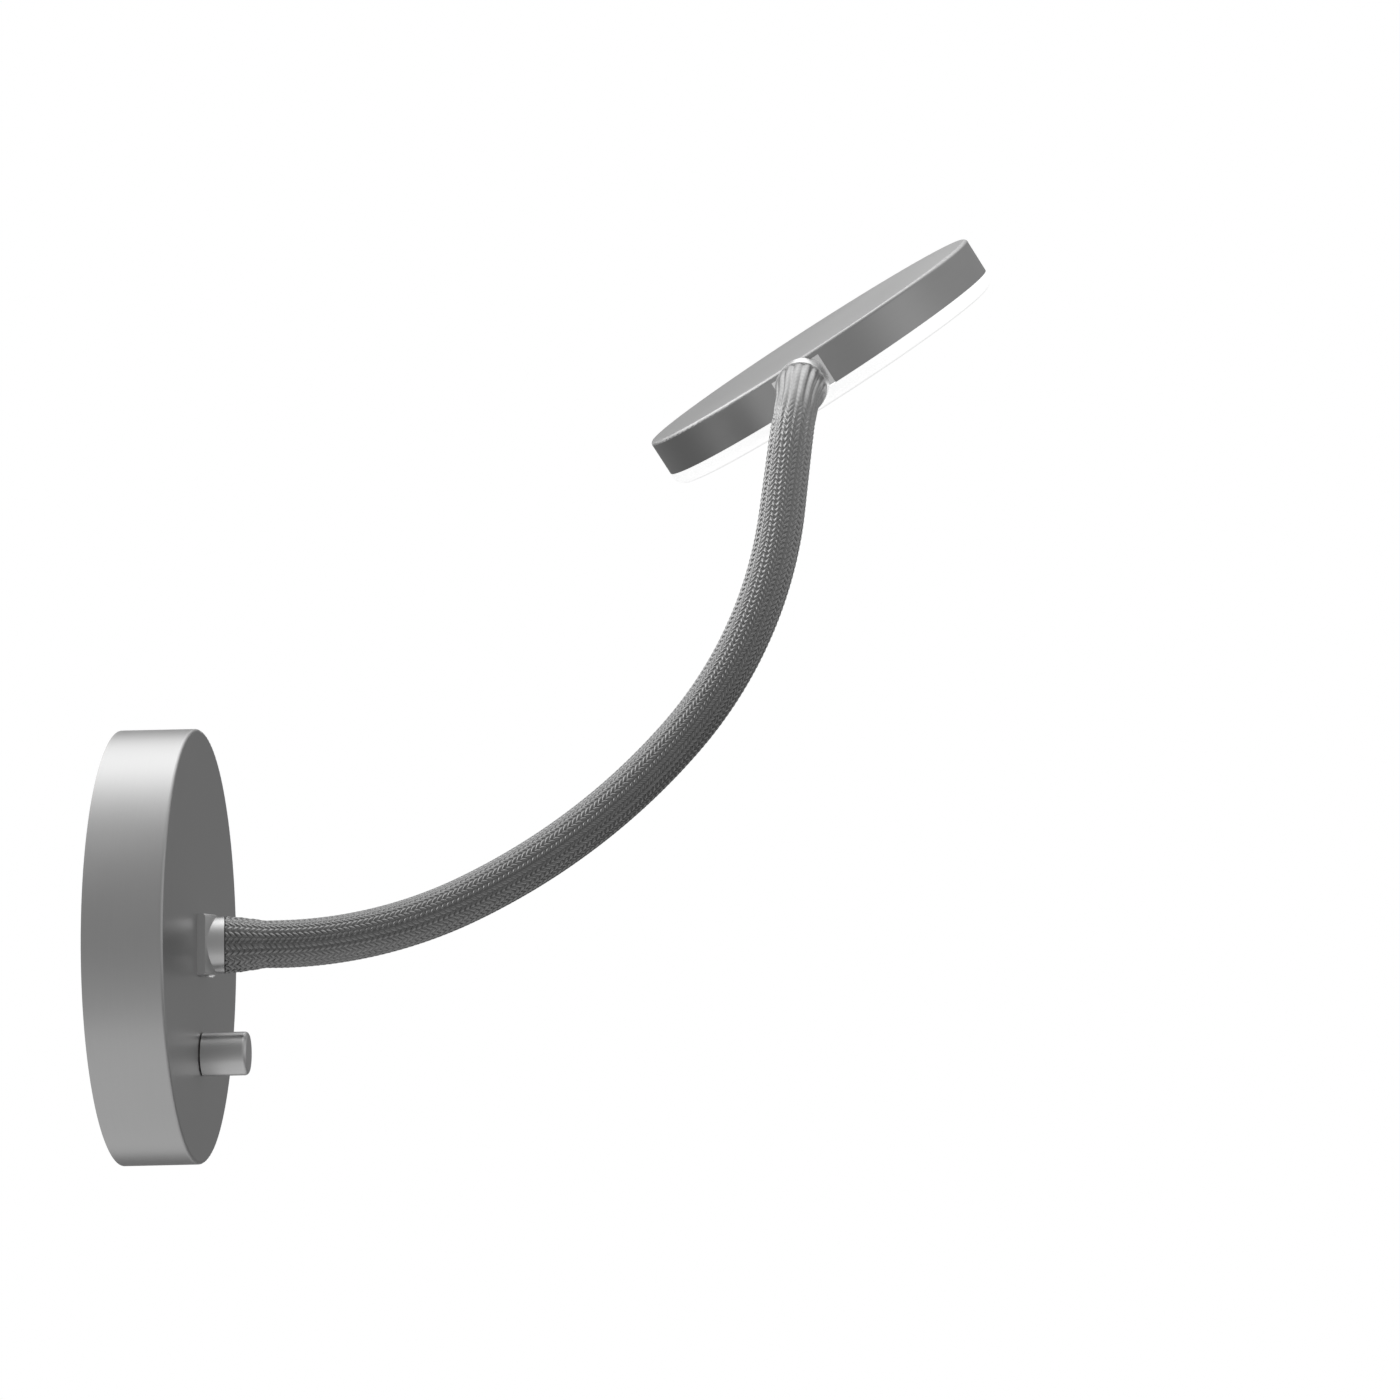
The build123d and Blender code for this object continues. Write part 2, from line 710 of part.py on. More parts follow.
head_fitting_start = mouth_from_centre - fitting_depth
head_screw_radius = head_radius + head_collar_length / 2
with BuildPart() as head_block:
    with BuildSketch(below_top(shell_top + running_clearance)):
        with Locations((block_rear + head_block_depth / 2, 0)):
            Rectangle(head_block_depth, block_width)
    extrude(amount=-(shell_height - shell_top - loose_clearance))
    with BuildSketch(HEAD):
        Circle(head_radius)
    extrude(amount=-shell_height, mode=Mode.INTERSECT)
    with BuildSketch(in_notch(block_rear)):
        Circle(head_stem_radius)
    extrude(amount=-head_stem_length)
    with BuildSketch(in_notch(head_radius + loose_clearance)):
        Circle(collar_radius)
    extrude(amount=head_collar_length - loose_clearance)
    with BuildSketch(in_notch(block_rear + cut_beyond)):
        Circle(head_stem_radius + collar_step)
    extrude(amount=head_block_depth)
    with BuildSketch(in_notch(mouth_from_centre)):
        Circle(collar_mouth_radius)
    extrude(amount=-collar_mouth_depth, mode=Mode.SUBTRACT)
    with BuildSketch(in_notch(mouth_from_centre)):
        Circle(fitting_radius + running_clearance)
    extrude(amount=-fitting_depth, mode=Mode.SUBTRACT)
    with BuildSketch(in_notch(mouth_from_centre)):
        Circle(lead_bore_radius)
    extrude(amount=-(head_collar_length + head_block_depth + head_stem_length), mode=Mode.SUBTRACT)
    with BuildSketch(Plane(origin=in_notch(head_screw_radius).origin, z_dir=-HEAD.z_dir)):
        Circle(grub_radius + running_clearance)
    extrude(amount=collar_radius + cut_beyond, mode=Mode.SUBTRACT)
finish(head_block, "head_block")

with BuildPart() as head_set_screw:
    screw_start = in_notch(head_screw_radius).origin - HEAD.z_dir * fitting_radius
    with BuildSketch(Plane(origin=screw_start, z_dir=-HEAD.z_dir)):
        Circle(grub_radius)
    extrude(amount=collar_radius - fitting_radius - grub_inset)
finish(head_set_screw, "head_set_screw")

with BuildPart() as head_nut:
    with BuildSketch(in_notch(web_inside)):
        RegularPolygon(head_nut_width / 2, 6, major_radius=False)
        Circle(head_stem_radius + running_clearance, mode=Mode.SUBTRACT)
    extrude(amount=-head_nut_thickness)
finish(head_nut, "head_nut")

with BuildPart() as neck_fitting_head:
    with BuildSketch(in_notch(head_fitting_start)):
        Circle(fitting_radius)
        Circle(lead_bore_radius, mode=Mode.SUBTRACT)
    extrude(amount=fitting_depth - collar_mouth_depth)
    with BuildSketch(in_notch(head_fitting_start + fitting_floor)):
        Circle(fitting_bore)
    extrude(amount=fitting_depth, mode=Mode.SUBTRACT)
finish(neck_fitting_head, "neck_fitting_head")

last_core = len(hinges)
with BuildPart() as neck_core_last:
    link_body(hinges[-1] + link_gap, neck_length + collar_mouth_depth)
    link_ball(hinges[-1])
    with BuildSketch(in_notch(mouth_from_centre - collar_mouth_depth)):
        Circle(fitting_bore - running_clearance)
        Circle(core_bore_radius, mode=Mode.SUBTRACT)
    extrude(amount=-(fitting_depth - collar_mouth_depth - fitting_floor))
finish(neck_core_last, f"neck_core_{last_core}")

# ------------------------------------------------------------------ light source in the head
board_top = shell_top + pad_thickness
led_top = board_top + board_thickness
with BuildPart() as thermal_pad:
    with BuildSketch(below_top(shell_top)):
        Circle(board_radius)
        with PolarLocations(board_screw_circle, 3, start_angle=board_screw_angle):
            Circle(board_screw_radius + running_clearance, mode=Mode.SUBTRACT)
    extrude(amount=-pad_thickness)
finish(thermal_pad, "thermal_pad")

with BuildPart() as led_board:
    with BuildSketch(below_top(board_top)):
        Circle(board_radius)
        with PolarLocations(board_screw_circle, 3, start_angle=board_screw_angle):
            Circle(board_screw_radius + running_clearance, mode=Mode.SUBTRACT)
    extrude(amount=-board_thickness)
finish(led_board, "led_board")

with BuildPart() as leds:
    with BuildSketch(below_top(led_top)):
        for count, inset in zip(led_ring_counts, led_ring_insets):
            with PolarLocations(board_radius - inset, count, start_angle=180 / count):
                Rectangle(led_size, led_size)
    extrude(amount=-led_thickness)
finish(leds, "leds")

with BuildPart() as board_screws:
    with BuildSketch(below_top(led_top)):
        with PolarLocations(board_screw_circle, 3, start_angle=board_screw_angle):
            Circle(2 * board_screw_radius)
    extrude(amount=-board_screw_radius)
    with BuildSketch(below_top(led_top)):
        with PolarLocations(board_screw_circle, 3, start_angle=board_screw_angle):
            Circle(board_screw_radius)
    extrude(amount=led_top - shell_top + shell_top / 2)
finish(board_screws, "board_screws")

board_pad_x = board_radius - head_pad_inset
with BuildPart() as head_leads:
    for side in (1, -1):
        lead_y = side * lead_spacing / 2
        points = [
            HEAD.from_local_coords((block_rear - head_stem_length / 2, lead_y, -neck_drop_in_head)),
            HEAD.from_local_coords((board_pad_x, lead_y, -neck_drop_in_head)),
            HEAD.from_local_coords((board_pad_x, lead_y, -led_top)),
        ]
        with BuildLine() as route:
            FilletPolyline(*points, radius=(neck_drop_in_head - led_top) / 2)
        with BuildSketch(Plane(origin=points[0], z_dir=-HEAD.x_dir)):
            Circle(lead_radius)
        sweep(path=route.wires()[0])
finish(head_leads, "head_leads")

diffuser_inner_radius = shell_inner_radius - 2 * running_clearance
with BuildPart() as diffuser:
    with BuildSketch(below_top(shell_height)):
        Circle(head_radius)
    extrude(amount=-diffuser_height)
    low_edge = diffuser.faces().sort_by(Axis(HEAD.origin, HEAD.z_dir))[0].edges()
    fillet(low_edge, diffuser_edge_radius)
    with BuildSketch(below_top(shell_height - diffuser_lip_height)):
        Circle(diffuser_inner_radius)
    extrude(amount=-diffuser_lip_height)
    with BuildSketch(below_top(shell_height - diffuser_lip_height)):
        Circle(diffuser_inner_radius - diffuser_wall)
    extrude(amount=-(diffuser_lip_height + diffuser_height - diffuser_floor), mode=Mode.SUBTRACT)
    with BuildSketch(below_top(shell_height)):
        with Locations((web_inside - cut_beyond + head_radius / 2, 0)):
            Rectangle(head_radius, notch_width + 2 * cut_beyond)
    extrude(amount=diffuser_lip_height + cut_beyond, mode=Mode.SUBTRACT)
finish(diffuser, "diffuser")

# ------------------------------------------------------------------ sizes worth checking
print("neck length", round(neck_length, 1), "tip bend radius", tip_bend_radius)
print("head centre", [round(v, 1) for v in tuple(HEAD.origin)],
      "normal", [round(v, 3) for v in tuple(HEAD.z_dir)])
for number, hinge in enumerate(hinges, start=1):
    place = station(hinge)
    print("hinge", number, [round(v, 2) for v in tuple(place.origin)],
          "ahead", [round(v, 4) for v in tuple(place.z_dir)],
          "side", [round(v, 4) for v in tuple(place.x_dir)],
          "normal", [round(v, 4) for v in tuple(place.y_dir)])
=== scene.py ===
# %% [markdown]
# # A wall lamp on a braided gooseneck
#
# The solid model brings every hard piece at full size. This lesson gives those pieces their finish
# and weaves the sleeve of the neck, which is the one soft part. All sizes are in metres.

# %% Load the frame
import json
import math

import bpy
import numpy as np
from mathutils import Matrix, Vector

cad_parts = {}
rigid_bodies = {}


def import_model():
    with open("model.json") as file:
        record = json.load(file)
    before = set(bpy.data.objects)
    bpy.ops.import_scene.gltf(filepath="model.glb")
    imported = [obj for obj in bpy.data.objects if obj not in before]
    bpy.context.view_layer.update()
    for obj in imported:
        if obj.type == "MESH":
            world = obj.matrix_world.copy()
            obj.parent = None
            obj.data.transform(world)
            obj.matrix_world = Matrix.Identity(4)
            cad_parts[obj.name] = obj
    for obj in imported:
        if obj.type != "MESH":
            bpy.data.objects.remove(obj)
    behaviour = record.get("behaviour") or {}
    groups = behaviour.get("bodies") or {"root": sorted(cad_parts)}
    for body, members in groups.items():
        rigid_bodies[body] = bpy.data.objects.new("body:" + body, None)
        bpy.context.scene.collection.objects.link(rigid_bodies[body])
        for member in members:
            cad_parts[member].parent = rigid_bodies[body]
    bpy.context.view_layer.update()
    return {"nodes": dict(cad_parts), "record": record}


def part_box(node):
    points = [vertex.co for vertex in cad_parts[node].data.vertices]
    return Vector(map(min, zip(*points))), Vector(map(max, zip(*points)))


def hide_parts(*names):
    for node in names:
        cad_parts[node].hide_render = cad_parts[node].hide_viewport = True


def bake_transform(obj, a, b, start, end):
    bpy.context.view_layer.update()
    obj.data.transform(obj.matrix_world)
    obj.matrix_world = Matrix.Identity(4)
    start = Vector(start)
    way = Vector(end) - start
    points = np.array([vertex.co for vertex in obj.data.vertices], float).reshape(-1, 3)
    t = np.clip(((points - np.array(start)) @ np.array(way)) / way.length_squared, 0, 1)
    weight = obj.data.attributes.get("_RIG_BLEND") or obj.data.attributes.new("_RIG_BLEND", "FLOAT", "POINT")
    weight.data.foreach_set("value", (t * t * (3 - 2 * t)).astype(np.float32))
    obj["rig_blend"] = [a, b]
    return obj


for spare in list(bpy.data.objects):
    bpy.data.objects.remove(spare)
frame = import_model()
nodes = frame["nodes"]
scene = bpy.context.scene
MM = 0.001

# %% [markdown]
# ## The camera
#
# A long lens stands level with the canopy, close to the wall, and looks along it. Three angles say how
# far it turns, how far it looks up and how far it leans. They were found by matching the outline of the
# round canopy, which is taken to be 127 mm across.

# %% The camera
camera_place = Vector((-851.4, -167.5, -36.8)) * MM
camera_turn = math.radians(-0.15)
camera_pitch = math.radians(7.1)
camera_lean = math.radians(1.28)

ahead = Vector((
    math.cos(camera_pitch) * math.cos(camera_turn),
    math.cos(camera_pitch) * math.sin(camera_turn),
    math.sin(camera_pitch),
))
level_right = ahead.cross(Vector((0, 0, 1))).normalized()
right = Matrix.Rotation(camera_lean, 3, ahead) @ level_right
up = right.cross(ahead)
camera_data = bpy.data.cameras.new("camera")
camera_data.lens = 74.44
camera_data.sensor_width = 36.0
camera = bpy.data.objects.new("camera", camera_data)
scene.collection.objects.link(camera)
camera.matrix_world = Matrix.Translation(camera_place) @ Matrix((right, up, -ahead)).transposed().to_4x4()
scene.camera = camera
print("camera right", [round(value, 4) for value in right], "up", [round(value, 4) for value in up])

# %% [markdown]
# ## Writing materials as expressions
#
# A node tree is easier to read as arithmetic. A Field wraps one socket, so that `1 - mask` or
# `grain * 0.2 + base` adds the Math nodes by itself. One method adds any other node.


# %% Fields
class Field:
    """One socket of a material, used in expressions as if it were a number."""

    def __init__(self, tree, socket=None):
        self.tree = tree
        self.socket = socket

    def node(self, kind, settings=None, inputs=None, output=0):
        """Add a node: first its settings, then the values or links of its sockets."""
        made = self.tree.nodes.new(kind)
        for key, value in (settings or {}).items():
            if key == "stops":
                set_stops(made.color_ramp, value)
            else:
                setattr(made, key, value)
        for key, value in (inputs or {}).items():
            if isinstance(value, Field):
                self.tree.links.new(value.socket, made.inputs[key])
            else:
                made.inputs[key].default_value = value
        return Field(self.tree, made.outputs[output] if len(made.outputs) else None)

    def math(self, operation, *values):
        return self.node("ShaderNodeMath", {"operation": operation}, dict(enumerate(values)))

    def vector(self, operation, *values):
        """Arithmetic on vectors, one value for each socket in turn."""
        return self.node("ShaderNodeVectorMath", {"operation": operation}, dict(enumerate(values)))

    def __add__(self, other):
        return self.math("ADD", self, other)

    def __radd__(self, other):
        return self.math("ADD", other, self)

    def __sub__(self, other):
        return self.math("SUBTRACT", self, other)

    def __rsub__(self, other):
        return self.math("SUBTRACT", other, self)

    def __mul__(self, other):
        return self.math("MULTIPLY", self, other)

    def __rmul__(self, other):
        return self.math("MULTIPLY", other, self)

    def __truediv__(self, other):
        return self.math("DIVIDE", self, other)

    def __pow__(self, other):
        return self.math("POWER", self, other)

    def share(self, low, high):
        """How far the number is from low to high, from 0 to 1 with soft ends."""
        return self.node("ShaderNodeMapRange", {"interpolation_type": "SMOOTHSTEP"},
                         {"Value": self, "From Min": low, "From Max": high})

    def blend(self, first, second):
        """The colour first where this mask is 0, second where it is 1."""
        return self.node("ShaderNodeMix", {"data_type": "RGBA"}, {0: self, 6: first, 7: second}, 2)


# %% Helpers for finishes
def set_stops(ramp, stops):
    """Give a colour ramp its places and colours."""
    while len(ramp.elements) < len(stops):
        ramp.elements.new(1.0)
    for element, (place, shade) in zip(ramp.elements, stops):
        element.position = place
        element.color = shade


def colour(red, green=None, blue=None):
    """A colour for a socket; one number makes a grey."""
    return (red, red if green is None else green, red if blue is None else blue, 1.0)


def tint(base, factor):
    return tuple(min(1.0, value * factor) for value in base[:3]) + (1.0,)


def new_finish(name):
    """An empty material and the Field that starts its expressions."""
    material = bpy.data.materials.new(name)
    material.use_nodes = True
    material.node_tree.nodes.clear()
    return material, Field(material.node_tree)


def noise(start, scale, detail=3.0, vector=None):
    """Cloudy noise; the scale is in cells for each metre of the object."""
    place = vector or start.node("ShaderNodeTexCoord", None, None, "Object")
    return start.node("ShaderNodeTexNoise", None, {"Vector": place, "Scale": scale, "Detail": detail}, "Fac")


def close_finish(start, sockets, height=None, depth=0.0):
    """End a finish in a Principled shader; height is the share of depth, in metres, that bumps it."""
    if height is not None:
        sockets["Normal"] = start.node("ShaderNodeBump", None, {"Height": height, "Distance": depth})
    shader = start.node("ShaderNodeBsdfPrincipled", None, sockets)
    start.node("ShaderNodeOutputMaterial", None, {"Surface": shader})


def dress(name, material):
    """Put one finish on a CAD node."""
    nodes[name].data.materials.clear()
    nodes[name].data.materials.append(material)


slot_of = {part["node"]: part["material_slot"] for part in frame["record"]["subparts"]}
print("slots", sorted(set(slot_of.values())))

# %% [markdown]
# ## Satin nickel
#
# The canopy, the hub, the knob and the head are plated and brushed on a lathe, so very fine scratches
# run round each turned piece. A wave texture would look printed. Noise drawn out round the piece's own
# axis gives scratches of uneven length and depth. The rounded edges have no scratches and are duller.

# %% Satin nickel
nickel_level = 0.40
nickel_roughness = 0.33
edge_roughness = 0.12
scratches_per_metre = 4500.0


def turned_grain(start, centre, axis):
    """Noise that is fine along the axis and away from it, and long in the turning direction."""
    place = start.node("ShaderNodeTexCoord", None, None, "Object")
    offset = start.vector("SUBTRACT", place, centre)
    height = start.node("ShaderNodeVectorMath", {"operation": "DOT_PRODUCT"}, {0: offset, 1: axis}, "Value")
    reach = start.node("ShaderNodeVectorMath", {"operation": "LENGTH"}, {0: offset}, "Value")
    rings = start.node("ShaderNodeCombineXYZ", None,
                       {"X": height * scratches_per_metre, "Y": reach * scratches_per_metre})
    drift = start.vector("MULTIPLY", offset, (90.0, 90.0, 90.0))
    return noise(start, 1.0, 3.0, start.vector("ADD", rings, drift))


def satin_nickel(name, centre, axis, level=nickel_level, roughness=nickel_roughness):
    material, start = new_finish(name)
    face = start.node("ShaderNodeTexCoord", None, None, "Normal")
    along_axis = start.node("ShaderNodeVectorMath", {"operation": "DOT_PRODUCT"}, {0: face, 1: axis}, "Value")
    square_on = ((along_axis * along_axis - 0.5) ** 2).share(0.15, 0.24)
    grain = (turned_grain(start, centre, axis) - 0.5) * square_on + 0.5
    cloud = noise(start, 35.0, 4.0)
    tone = (grain + cloud - 1.0) * 0.45 + 0.5
    close_finish(start, {
        "Base Color": tone.blend(colour(level * 0.93), colour(level * 1.07)),
        "Metallic": 1.0,
        "Roughness": (grain + cloud - 1.0) * 0.05 + (1 - square_on) * edge_roughness + roughness,
    }, grain, 0.000004)
    return material


def node_middle(name):
    low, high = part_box(name)
    return (Vector(low) + Vector(high)) / 2


wall_normal = Vector((0, -1, 0))
head_normal = Vector((-0.24, 0.525, 0.817))
dress("canopy", satin_nickel("canopy_nickel", node_middle("canopy"), wall_normal))
# The hub and the knob get a lighter nickel than the canopy, 0.50 against 0.40, though the plating is the
# same: painted light.
for name in ("hub_block", "knob"):
    dress(name, satin_nickel(name + "_nickel", node_middle(name), wall_normal, level=0.50))
# The head shell gets a slightly darker nickel, 0.37 against 0.40, though the plating is the same: painted
# shade that dims its top and its bevel line.
dress("head_shell", satin_nickel("head_shell_nickel", node_middle("head_shell"), head_normal, 0.37))
dress("head_block", satin_nickel("head_block_nickel", node_middle("head_shell"), head_normal, 0.88, 0.25))

# %% [markdown]
# ## The other hard pieces
#
# Moulded plastic, foam and rubber share one recipe: a colour that wanders a little, and a fine grain in
# the bump. Bare metals share another, with blotches and a finer grain, as on zinc plate.

# %% Plastics, rubbers and bare metals


def moulded(name, base, roughness, grain_size=0.0006, depth=0.00002, spread=0.08, **extra):
    material, start = new_finish(name)
    grain = noise(start, 1 / grain_size, 2.0)
    cloud = noise(start, 60.0, 3.0)
    sockets = {
        "Base Color": cloud.blend(tint(base, 1 - spread), tint(base, 1 + spread)),
        "Roughness": grain * 0.08 + roughness - 0.04,
    }
    sockets.update(extra)
    close_finish(start, sockets, grain, depth)
    return material


def bare_metal(name, base, roughness, patch=0.004):
    material, start = new_finish(name)
    place = start.node("ShaderNodeTexCoord", None, None, "Object")
    patches = start.node("ShaderNodeTexVoronoi", None, {"Vector": place, "Scale": 1 / patch}, "Distance")
    fine = noise(start, 3000.0, 2.0)
    close_finish(start, {
        "Base Color": (patches * 0.6 + fine * 0.4).blend(tint(base, 0.85), tint(base, 1.1)),
        "Metallic": 1.0,
        "Roughness": patches * 0.10 + fine * 0.08 + roughness - 0.08,
    }, fine, 0.000006)
    return material


finishes = {
    "zinc_steel": bare_metal("zinc_plate", colour(0.40, 0.41, 0.42), 0.38),
    "screw_steel": bare_metal("screw_steel", colour(0.30), 0.32, 0.002),
    "plated_brass": bare_metal("plated_brass", colour(0.36, 0.35, 0.33), 0.30, 0.003),
    "core_steel": bare_metal("oiled_steel", colour(0.14), 0.35),
    "green_screw": moulded("green_zinc", colour(0.02, 0.15, 0.035), 0.35, 0.0004, 0.00001, 0.15,
                           Metallic=0.8),
    "wiper_plastic": moulded("wiper_plastic", colour(0.015), 0.5),
    "driver_plastic": moulded("driver_plastic", colour(0.75, 0.75, 0.71), 0.5),
    "circuit_board": moulded("circuit_board", colour(0.012, 0.075, 0.02), 0.4, 0.002, 0.00002, 0.3),
    "terminal_plastic": moulded("terminal_plastic", colour(0.60, 0.60, 0.54), 0.45),
    "foam_tape": moulded("foam_tape", colour(0.78), 0.9, 0.0009, 0.00015),
    "thermal_silicone": moulded("thermal_silicone", colour(0.26, 0.32, 0.39), 0.7),
    "lead_insulation": moulded("lead_insulation", colour(0.008), 0.42, 0.001, 0.00001, 0.3),
    "white_metal_board": moulded("white_board", colour(0.85, 0.85, 0.82), 0.4, 0.001, 0.00001, 0.04),
    "led_phosphor": moulded("led_phosphor", colour(0.83, 0.62, 0.10), 0.45),
}
for name, slot in slot_of.items():
    if slot in finishes:
        dress(name, finishes[slot])
# The hub's set screw gets a near-white metal, 0.90 against 0.30 for the other screws: a painted highlight, so
# that it shows as a bright dot.
dress("hub_set_screw", bare_metal("set_screw_painted_highlight", colour(0.90), 0.22, 0.002))
print("finishes shared by slot", len(finishes))

# %% [markdown]
# ## The opal diffuser
#
# Opal acrylic scatters light inside itself, and here the LEDs behind it are on. A glow in the shader
# stands for both, because real scattering through the thin sheet would be slow and noisy.

# %% Opal acrylic
opal_glow = 0.53
opal, start = new_finish("opal_acrylic")
cloud = noise(start, 25.0, 2.0)
frost = noise(start, 2500.0, 2.0)
place = start.node("ShaderNodeTexCoord", None, None, "Object")
offset = start.vector("SUBTRACT", place, node_middle("diffuser"))
height = start.node("ShaderNodeVectorMath", {"operation": "DOT_PRODUCT"},
                    {0: offset, 1: head_normal}, "Value")
# Below a height just under its middle the diffuser glows a darker grey: painted shade that draws a thin grey
# line along its lower edge.
painted_edge_shade = 1 - height.share(-0.0038, -0.0031)
close_finish(start, {
    "Base Color": cloud.blend(colour(0.88), colour(0.92)),
    "Roughness": frost * 0.10 + 0.35,
    "Emission Color": painted_edge_shade.blend(colour(1.0), colour(0.58)),
    "Emission Strength": opal_glow,
}, frost, 0.000004)
dress("diffuser", opal)
undressed = [name for name in nodes if slot_of[name] != "braid" and len(nodes[name].data.materials) != 1]
print("nodes without a finish", undressed)

# %% [markdown]
# ## The neck's centre line
#
# The sleeve follows the same arcs as the solid neck: each stretch has a length, the angle it turns
# through, and how far its bending direction rolls before it. The line starts at the mouth of the hub's
# collar, which leans to one side. The frame carried along the line doesn't twist, as a tube of cloth
# doesn't when it is only bent.

# %% The neck's centre line
canopy_depth = 22.2 * MM
collar_end = 6.4 * MM
collar_lean = math.radians(8.7)
tip_bend_radius = 27.0 * MM
tip_turn = 67.3
stretches = (
    (15.1 * MM, 0.0, 0),
    (58.0 * MM, 24.8, 0),
    (82.7 * MM, 23.4, 0),
    (77.8 * MM, 33.4, 0),
    (18.7 * MM, 0.0, 0),
    (tip_bend_radius * math.radians(tip_turn), tip_turn, -103),
)
neck_length = sum(length for length, turn, roll in stretches)


def neck_frames(distances):
    """For each distance along the neck: the point there, and two untwisted directions across it."""
    sideways, outward = math.sin(collar_lean), math.cos(collar_lean)
    origin = np.array((collar_end * sideways, -canopy_depth - collar_end * outward, 0.0))
    first, second = np.array((outward, sideways, 0.0)), np.array((0.0, 0.0, 1.0))
    points, firsts, seconds = (np.zeros(distances.shape + (3,)) for unused in range(3))
    reached, roll_sum = 0.0, 0.0
    for length, turn, roll in stretches:
        roll_sum += math.radians(roll)
        tangent = np.cross(first, second)
        hinge_way = first * math.cos(roll_sum) + second * math.sin(roll_sum)
        bend_way = second * math.cos(roll_sum) - first * math.sin(roll_sum)
        later = (distances >= reached) | (reached == 0.0)
        run = np.clip(distances[later] - reached, 0.0, length)
        spill = (distances[later] - reached - run)[..., None]
        run = np.append(run, length)
        angle = (math.radians(turn) * run / length)[..., None]
        if turn:
            radius = length / math.radians(turn)
            at = origin + radius * ((1 - np.cos(angle)) * bend_way + np.sin(angle) * tangent)
        else:
            at = origin + run[..., None] * tangent
        onward = np.cos(angle) * tangent + np.sin(angle) * bend_way
        bent = np.cos(angle) * bend_way - np.sin(angle) * tangent
        new_first = hinge_way * math.cos(roll_sum) - bent * math.sin(roll_sum)
        new_second = hinge_way * math.sin(roll_sum) + bent * math.cos(roll_sum)
        points[later] = at[:-1] + spill * onward[:-1]
        firsts[later], seconds[later] = new_first[:-1], new_second[:-1]
        origin, first, second = at[-1], new_first[-1], new_second[-1]
        reached += length
    return points, firsts, seconds


check_points, unused, unused = neck_frames(np.array((0.0, neck_length / 2, neck_length)))
print("neck length", round(neck_length, 4), "points", np.round(check_points, 4).tolist())

# %% [markdown]
# ## The woven sleeve
#
# Two sets of threads wind round the neck, one each way, and pass over and under each other. On the
# outside this shows as lengthwise columns of short floats, tilted left and right in turn. The mesh
# follows the floats: its rings zigzag with them, so that five steps are enough for a rounded thread.
# Modelling every thread as its own curve would take many times the faces for the same outline. Near the
# head the sleeve is gathered, so the floats stand higher there and then give way to lengthwise pleats.

# %% Measures of the weave
column_count = 28
steps_in_column = 5
steps_in_float = 6
float_pitch = 1.68 * MM
float_slant = 0.8
thread_relief = 0.34 * MM
sleeve_tuck = 2.0 * MM
pleat_count = 16
pleat_depth = 0.55 * MM
pleat_length = 26.0 * MM
swell_begins = 150.0 * MM
swell_ends = 80.0 * MM
swell = 1.35

floats = round((neck_length + 2 * sleeve_tuck) / float_pitch)
float_pitch = (neck_length + 2 * sleeve_tuck) / floats
sleeve_profile = (
    (-3.0, 6.85), (-0.05, 7.15), (0.02, 8.25), (4.3, 7.95), (8.0, 7.45), (12.2, 6.85), (18.0, 6.90),
    (neck_length / MM - 60.0, 6.90), (neck_length / MM - 24.0, 6.60), (neck_length / MM - 14.0, 6.75),
    (neck_length / MM - 4.0, 7.80), (neck_length / MM - 0.7, 7.95),
    (neck_length / MM + 0.1, 7.05), (neck_length / MM + 2.7, 6.80),
)


def smooth_steps(value, table):
    """Read a table of (place, size) pairs with a soft step between neighbours."""
    places, sizes = np.array(table).T
    index = np.clip(np.searchsorted(places, value) - 1, 0, len(places) - 2)
    share = np.clip((value - places[index]) / (places[index + 1] - places[index]), 0, 1)
    return sizes[index] + (sizes[index + 1] - sizes[index]) * share * share * (3 - 2 * share)


print("floats", floats, "pitch", round(float_pitch / MM, 3), "mm")

# %% Shape of the whole sleeve
around = column_count * steps_in_column
rings = floats * steps_in_float + 1
step, ring = np.meshgrid(np.arange(around), np.arange(rings))
column = step // steps_in_column
across = (step % steps_in_column) / steps_in_column
rising = column % 2 == 0
zigzag = np.where(rising, across, 1 - across) - 0.5
travel = ring / steps_in_float
distance = (travel + zigzag * float_slant) * float_pitch - sleeve_tuck
turn = 2 * np.pi * step / around
pleating = np.clip((distance - neck_length + pleat_length) / (0.4 * pleat_length), 0, 1)
pleating = pleating * pleating * (3 - 2 * pleating)
swelling = smooth_steps(distance, ((neck_length - swell_begins, 1.0), (neck_length - swell_ends, swell)))

phase = np.mod(travel + np.where(rising, 0.0, 0.5), 1.0)
arch = np.sqrt(np.clip(1 - (2 * phase - 1) ** 2, 0, 1))
tuck = np.sin(np.pi * (across * 0.8 + 0.1))
relief = (arch * tuck - 0.5) * thread_relief * swelling * (1 - pleating)
pleats = (np.abs(np.cos(turn * pleat_count / 2)) - 0.75) * pleat_depth * pleating
radius = smooth_steps(distance / MM, sleeve_profile) * MM + relief + pleats

centre, first_way, second_way = neck_frames(distance)
outward = np.cos(turn)[..., None] * first_way + np.sin(turn)[..., None] * second_way
sleeve_points = centre + radius[..., None] * outward
turnwise = np.roll(sleeve_points, -1, axis=1) - np.roll(sleeve_points, 1, axis=1)
sleeve_normals = np.cross(turnwise, np.gradient(sleeve_points, axis=0))
sleeve_normals /= np.linalg.norm(sleeve_normals, axis=-1, keepdims=True)
facing_out = (sleeve_normals * outward).sum(axis=-1).mean()
print("sleeve normals face outward", round(facing_out, 2))
print("sleeve points", sleeve_points.shape, "radius", np.round([radius.min() / MM, radius.max() / MM], 2))

